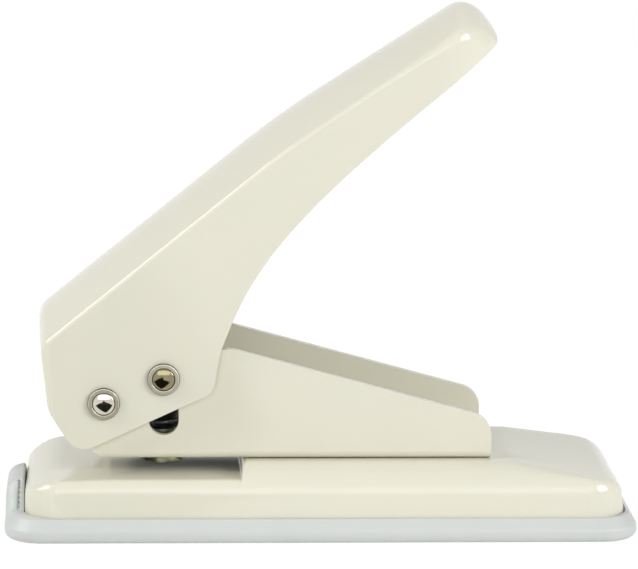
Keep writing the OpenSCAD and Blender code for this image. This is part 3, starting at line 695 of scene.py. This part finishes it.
# %% The hood, extruded from the front to the grip
# Close lines for the front's round, even ones for the cheek, close ones where the lower outline turns up,
# even ones for the lever, and closing ones for the tip
stations = [FRONT_ROUND * (1 - math.cos(math.radians(15 * k))) for k in range(7)]
for start, step, count in ((2.2, 0.85, 10), (11, 2, 9), (28.6, 0.4, 22), (38.5, 1.75, 20)):
    stations += [start + step * k for k in range(count)]
tip_start = GRIP_X - TIP_PLAN - FRONT_X
stations += [tip_start + TIP_PLAN * math.sin(math.radians(2.25 * k)) for k in range(35)]
hood = bmesh.new()
for number, station in enumerate(sorted(stations)):
    points = half_section(station)
    points += [(x, -y, z) for x, y, z in points[-2::-1]]
    if number == 0:
        line = chain(hood, points)
        front_line = list(line)
    else:
        edges = [e for a, b in zip(line, line[1:]) for e in a.link_edges if e.other_vert(a) is b]
        made = bmesh.ops.extrude_edge_only(hood, edges=edges)["geom"]
        fresh = set(only(bmesh.types.BMVert, made))
        line = [next(e.other_vert(v) for e in v.link_edges if e.other_vert(v) in fresh) for v in line]
        for vert, point in zip(line, points):
            vert.co = point
for loop in (front_line, line):
    hood.faces.new(loop)
print("the hood has", len(stations), "lines of", len(points), "points")
handle_piece = make_piece("handle_hood", hood, "handle", ["handle"], [enamel])
thicken(handle_piece, SHEET, -1, 0.25)

# %% [markdown]
# ## Turned pieces
# Pins, rivets, bushes and washers all come from a lathe, so they are all one operator: an outline of
# radius and height, its corners broken by a small vertex bevel, spun once round its axis. A full spin has
# to merge its seam, and points on the axis weld when the piece is closed.

# %% Spin an outline round an axis
SPIN_STEPS = 64


def turned(outline, centre, along_y=False, closed=True, corner=0.12):
    """Spins an outline of (radius, height) points round an axis through a centre, in a new drawing."""
    bm = bmesh.new()
    for vert in chain(bm, [(r, 0, h) for r, h in outline], closed=closed):
        if corner and len(vert.link_edges) == 2 and vert.co.x > 0.01:
            round_corner(bm, vert, corner, 2)
    bmesh.ops.spin(bm, geom=bm.verts[:] + bm.edges[:], cent=(0, 0, 0), axis=(0, 0, 1), angle=math.tau,
                   steps=SPIN_STEPS, use_merge=True)
    if along_y:
        bmesh.ops.rotate(bm, verts=bm.verts, cent=(0, 0, 0), matrix=Matrix.Rotation(math.radians(90), 3, 'X'))
    bmesh.ops.translate(bm, verts=bm.verts, vec=centre)
    return bm


def tube(inner, outer, low, high):
    """Outline of a plain tube or washer."""
    return [(inner, low), (outer, low), (outer, high), (inner, high)]


# %% [markdown]
# The two pins are riveted over: a flat satin ring is left round a blunt polished point, and a fine groove
# parts the two. The point mirrors the room in sectors, as a cone does. The drive pin's point is coloured
# darker and yellower, as painted shade. The groove and the rim are coloured dark, painted shade for the
# fine dark lines round each head. The finishes go on one piece, chosen face by face from
# the distance to the axis.

# %% The drive pin and the pivot pin
SHANK, HEAD_R, HEAD_LOW, HEAD_TOP, DOME_R, DOME_H = 2, 3, 15, 15.7, 2.08, 0.55
DOME_STEPS = 16
dome = []
for step in range(DOME_STEPS + 1):
    out = step / DOME_STEPS
    dome.append((DOME_R * out, HEAD_TOP - 0.15 + DOME_H * (1 - 0.5 * out - 0.5 * out ** 3)))
half_pin = dome + [(DOME_R + 0.05, HEAD_TOP - 0.3), (DOME_R + 0.12, HEAD_TOP - 0.06),
                   (DOME_R + 0.17, HEAD_TOP), (DOME_R + 0.22, HEAD_TOP), (HEAD_R - 0.2, HEAD_TOP),
                   (HEAD_R - 0.16, HEAD_TOP), (HEAD_R - 0.1, HEAD_TOP - 0.04), (HEAD_R, HEAD_TOP - 0.15),
                   (HEAD_R, HEAD_LOW), (SHANK, HEAD_LOW)]
pin_outline = half_pin + [(r, -h) for r, h in half_pin[::-1]]
SHADE_LINES = ((DOME_R, DOME_R + 0.12), (HEAD_R - 0.1, HEAD_R + 1))
for name, node, x, z, bright in (("drive_rivet", "drive_pin", -29.887, 29.97, "painted_shade_nickel"),
                                 ("pivot_rivet", "pivot_pin", PIVOT_X, PIVOT_Z, "polished_nickel")):
    drawing = turned(pin_outline, (x, 0, z), along_y=True, closed=False, corner=0)
    for face in drawing.faces:
        spot = face.calc_center_median() - Vector((x, 0, z))
        out = math.hypot(spot.x, spot.z)
        # The point is a mirror; on the drive pin it is the darker painted-shade copy
        if abs(spot.y) > HEAD_LOW and out < DOME_R:
            face.material_index = 1
        # The groove and the rim: painted shade, a dark colour for the fine lines round the head
        elif any(low < out < high for low, high in SHADE_LINES):
            face.material_index = 2
    make_piece(name, drawing, "handle", [node],
               [metal["satin_nickel"], metal[bright], metal["painted_shade_line"]])

# %% [markdown]
# The die is the hard ring that the punch enters. Its mouth has a chamfer, coloured dark as painted shade,
# and the bore below is coloured pale khaki as a painted reflection of the lit gap. The guide holds the punch
# straight and strips the paper off it. Washers spread the spring's force, and a spacer keeps the frame's
# sides apart when the pivot is riveted.

# %% The die, the punch guide, the spring's washers, the spacer and the pivot's washers
BORE = 3.05
axis_point = (PUNCH_X, 0, 0)
LEAD_R, LEAD_TOP, LEAD_END, RIM_R = 3.3, 10.75, 9.4, 4
die = turned([(BORE, 8.3), (7, 8.3), (7, 10.1), (4.5, 10.1), (4.5, DECK), (RIM_R, DECK), (LEAD_R, LEAD_TOP),
              (BORE, LEAD_END)], axis_point, corner=0.03)
for face in die.faces:
    spot = face.calc_center_median() - Vector(axis_point)
    out = math.hypot(spot.x, spot.y)
    # The bore gets a painted reflection of the lit gap, the chamfer a painted shade line
    if out < LEAD_R:
        face.material_index = 1
    elif out < RIM_R:
        face.material_index = 2
make_piece("die_ring", die, "base", ["die_bush"],
           [metal["ground_tool_steel"], metal["painted_lit_bore"], metal["painted_shade_line"]])
guide = turned([(BORE, 14), (3.65, 14), (3.65, 15.5), (4.25, 15.5), (4.25, 17.9), (BORE, 17.9)], axis_point)
make_piece("guide_bush", guide, "base", ["punch_guide"], [metal["ground_tool_steel"]])
make_piece("seat_washer", turned(tube(4.3, 6.85, 15.5, 16), axis_point), "base",
           ["spring_seat"], [metal["zinc_plate"]])
make_piece("cap_washer", turned(tube(3.02, 6.85, 25.52, 26.02), axis_point), "punch",
           ["spring_cap"], [metal["zinc_plate"]])
pivot_point = (PIVOT_X, 0, PIVOT_Z)
make_piece("spacer_tube", turned(tube(PIN_HOLE, 3.2, -11.4, 11.4), pivot_point, along_y=True), "base",
           ["pivot_spacer"], [metal["zinc_plate"]])
washers = turned(tube(2.02, 4, 13.1, 13.7), pivot_point, along_y=True)
bmesh.ops.mirror(washers, geom=all_of(washers), axis='Y', matrix=Matrix.Identity(4), merge_dist=0)
make_piece("side_washers", washers, "handle", ["pivot_washers"], [metal["zinc_plate"]])

# %% [markdown]
# Two rivets hold the frame on the base. They are set from above, so the round head lies inside the frame and
# a small upset end lies under the base's sheet.

# %% The two rivets that hold the frame on the base
RIVET_X, RIVET_PITCH = -6.45, 29.5
rivets = turned([(0, 11.9), (2.6, 11.9), (3, 12.8), (2, 12.8), (2, 15.5), (3.5, 15.5), (3.35, 16.05),
                 (2.9, 16.5), (2.2, 16.72), (1.2, 16.8), (0, 16.8)], (RIVET_X, 0, 0), closed=False, corner=0)
copy = bmesh.ops.duplicate(rivets, geom=all_of(rivets))["geom"]
bmesh.ops.translate(rivets, vec=(RIVET_PITCH, 0, 0), verts=only(bmesh.types.BMVert, copy))
make_piece("floor_rivets", rivets, "base", ["frame_rivets"], [metal["zinc_plate"]])

# %% [markdown]
# ## The return spring
# A spring lifts the punch out of the paper. It is wound from drawn wire, with a turn at each end that lies
# flat on its washer. A wire's round section, spun with a rise at every step, makes the coil: slow rise,
# working turns, slow rise. When the handle is pressed the coil shortens; no squash of it is set up here,
# and the spring only gets a mesh of its own.

# %% The return spring
WIRE_R, COIL_R, SPRING_LOW, SPRING_HIGH = 0.4, 5.65, 16.05, 25.47
STEPS_A_TURN = 36
coil = bmesh.new()
wire = bmesh.ops.create_circle(coil, segments=10, radius=WIRE_R, cap_ends=True,
                               matrix=Matrix.Rotation(math.radians(90), 4, 'X'))["verts"]
bmesh.ops.translate(coil, vec=(COIL_R, 0, SPRING_LOW + WIRE_R), verts=wire)
END_TURNS, WORK_TURNS, END_PITCH = 0.75, 3, 0.9
work_rise = SPRING_HIGH - SPRING_LOW - 2 * WIRE_R - 2 * END_TURNS * END_PITCH
last = coil.faces[:] + coil.edges[:] + coil.verts[:]
for turns, rise in ((END_TURNS, END_TURNS * END_PITCH), (WORK_TURNS, work_rise),
                    (END_TURNS, END_TURNS * END_PITCH)):
    steps = round(turns * STEPS_A_TURN)
    last = bmesh.ops.spin(coil, geom=last, cent=(0, 0, 0), axis=(0, 0, 1), dvec=(0, 0, rise / steps),
                          angle=math.tau * turns, steps=steps)["geom_last"]
bmesh.ops.translate(coil, vec=axis_point, verts=coil.verts)
spring = make_piece("coil_spring", coil, "base", ["return_spring"],
                    [metal["drawn_spring_wire"]])
# The punch's travel leaves about a third of the coil's height
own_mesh(spring)

# %% [markdown]
# ## The punch
# The punch itself is already right as it is packed: a rod with a head, a cross slot for the drive pin and a
# hollow tip that starts the cut at two points. It only gets a nearly black colour, painted shade that makes
# the slot in the frame's side look dark.

# %% The punch's finish
# Painted shade: the punch is coloured nearly black so the slot in the frame looks dark
for material_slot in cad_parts["punch"].material_slots:
    material_slot.material = metal["painted_shade_steel"]
print("the punch keeps its packed shape")

# %% [markdown]
# ## Floor and background
# A catalogue picture stands on white. The floor is a real pale plane, so the tray has something to stand
# on and throws its shadow there. Seen by the camera or in a reflection it also glows to white, by the
# Light Path node, and so does the world. To the diffuse light both stay plain.

# %% White floor and world


def seen_directly(tree):
    """Socket that is 1 for rays from the camera, off gloss and through glass, and 0 for diffuse light."""
    path = add(tree, "ShaderNodeLightPath")
    either = add(tree, "ShaderNodeMath", {"operation": 'MAXIMUM'},
                 {0: path.outputs["Is Camera Ray"], 1: path.outputs["Is Glossy Ray"]})
    return add(tree, "ShaderNodeMath", {"operation": 'MAXIMUM'},
               {0: either.outputs[0], 1: path.outputs["Is Transmission Ray"]}).outputs[0]


FLOOR_GLOW, WHITE, FLOOR_HALF, FLOOR_DROP = 0.92, 1.06, 3, 0.05
paper, tree, shader = new_finish("matt_paper", Base_Color=linear("#F6F6F6"), Roughness=0.9)
glow = add(tree, "ShaderNodeEmission", {"Strength": WHITE})
amount = add(tree, "ShaderNodeMath", {"operation": 'MULTIPLY', 1: FLOOR_GLOW}, {0: seen_directly(tree)})
both = add(tree, "ShaderNodeMixShader", None,
           {0: amount.outputs[0], 1: shader.outputs[0], 2: glow.outputs[0]})
tree.links.new(both.outputs[0], tree.nodes["Material Output"].inputs["Surface"])
floor_drawing = bmesh.new()
bmesh.ops.create_grid(floor_drawing, x_segments=2, y_segments=2, size=FLOOR_HALF)
bmesh.ops.translate(floor_drawing, vec=(0, 0, -FLOOR_DROP * MM), verts=floor_drawing.verts)
floor_mesh = bpy.data.meshes.new("floor")
floor_drawing.to_mesh(floor_mesh)
floor_drawing.free()
floor_mesh.materials.append(paper)
floor = bpy.data.objects.new("floor", floor_mesh)
bpy.context.scene.collection.objects.link(floor)

AMBIENT = 0.26
world = bpy.data.worlds.new("white_room")
bpy.context.scene.world = world
world.use_nodes = True
tree = world.node_tree
level = add(tree, "ShaderNodeMapRange", {"To Min": AMBIENT, "To Max": 1}, {"Value": seen_directly(tree)})
tree.links.new(level.outputs["Result"], tree.nodes["Background"].inputs["Strength"])
tree.nodes["Background"].inputs["Color"].default_value = (1, 1, 1, 1)
print("floor and world are white")

# %% [markdown]
# ## Studio light
# Glossy paint is drawn by what it mirrors. A wide, low box in front fills the sides. One on the left lights
# the back and draws the crisp line along the handle's fold and the spots on the base's corners. One on the
# right reaches the inner side of the frame. Bright metal needs something dark to mirror, or it looks like
# chalk. A small black card therefore stands tilted before the pins, where only reflections see it, and
# shows in each as a dark diamond.

# %% Soft boxes
AIM = Vector((0, 0, 0.045))
# Each lamp's place, width and depth in metres, and its watts
LAMPS = {
    "front_box": ((0, -1, 0.45), 1.2, 0.4, 2.3),
    "left_box": ((-0.78, -0.14, 0.62), 0.5, 0.5, 5.4),
    "right_box": ((0.7, -0.5, 0.4), 0.4, 0.4, 4.3),
}
for name, (place, width, depth, watts) in LAMPS.items():
    lamp = bpy.data.lights.new(name, 'AREA')
    lamp.shape = 'RECTANGLE'
    lamp.size, lamp.size_y, lamp.energy = width, depth, watts
    holder = bpy.data.objects.new(name, lamp)
    holder.location = place
    holder.rotation_euler = (AIM - Vector(place)).to_track_quat('-Z', 'Y').to_euler()
    bpy.context.scene.collection.objects.link(holder)
print("lamps:", ", ".join(LAMPS))

# %% Black card
CARD_TILT = 0.5
# Places x and y in millimetres. The card rises from the table towards the camera
CARD_CORNERS = [(-36, -33), (-7, -53), (-41, -116), (-71, -52)]
felt = new_finish("black_felt", Base_Color=linear("#0A0A0A"), Roughness=1)[0]
card_drawing = bmesh.new()
chain(card_drawing, [(x, y, 1 - CARD_TILT * (y - CARD_CORNERS[0][1])) for x, y in CARD_CORNERS], closed=True)
bmesh.ops.contextual_create(card_drawing, geom=card_drawing.edges[:])
bmesh.ops.scale(card_drawing, vec=(MM, MM, MM), verts=card_drawing.verts)
card_mesh = bpy.data.meshes.new("black_card")
card_drawing.to_mesh(card_mesh)
card_drawing.free()
card_mesh.materials.append(felt)
card = bpy.data.objects.new("black_card", card_mesh)
bpy.context.scene.collection.objects.link(card)
card.visible_camera = card.visible_diffuse = card.visible_shadow = False
print("the card has", len(CARD_CORNERS), "corners")

# %% [markdown]
# ## The camera
# The picture was taken from a little above the table and almost square to the side, with a long lens that
# keeps the outlines calm. The angles come from the outlines of the punch: how far its back edges show over
# the front ones.

# %% The camera
AZIMUTH, ELEVATION, ROLL = [math.radians(a) for a in (-3.2, 11, 0.65)]
DISTANCE = 0.7
PIXELS_PER_MM, IMAGE_W = 5.25, 638
back = Vector((math.sin(AZIMUTH) * math.cos(ELEVATION), -math.cos(AZIMUTH) * math.cos(ELEVATION),
               math.sin(ELEVATION)))
right = Vector((math.cos(AZIMUTH), math.sin(AZIMUTH), 0))
up = back.cross(right)
right, up = (math.cos(ROLL) * right + math.sin(ROLL) * up, math.cos(ROLL) * up - math.sin(ROLL) * right)
view = bpy.data.cameras.new("side_view")
view.sensor_width = 36
view.lens = view.sensor_width * PIXELS_PER_MM * DISTANCE / MM / IMAGE_W
view.clip_start, view.clip_end = 0.01, 20
camera = bpy.data.objects.new("side_view", view)
# The picture's middle lies about a pixel to the left of the aim and half a pixel over it
SHIFT_RIGHT, SHIFT_UP = 0.02 - 1 / PIXELS_PER_MM, 0.5 / PIXELS_PER_MM
target = AIM + SHIFT_RIGHT * MM * right + SHIFT_UP * MM * up
turn = Matrix((right, up, back)).transposed().to_4x4()
camera.matrix_world = Matrix.Translation(target + DISTANCE * back) @ turn
bpy.context.scene.collection.objects.link(camera)
bpy.context.scene.camera = camera
bpy.context.scene.view_settings.view_transform = 'Standard'
print("lens", round(view.lens, 1), "mm")

# %% [markdown]
# ## The last update
# Dressing must not change the object's size. The last cell only brings the scene up to date.

# %% Bring the scene up to date
bpy.context.view_layer.update()
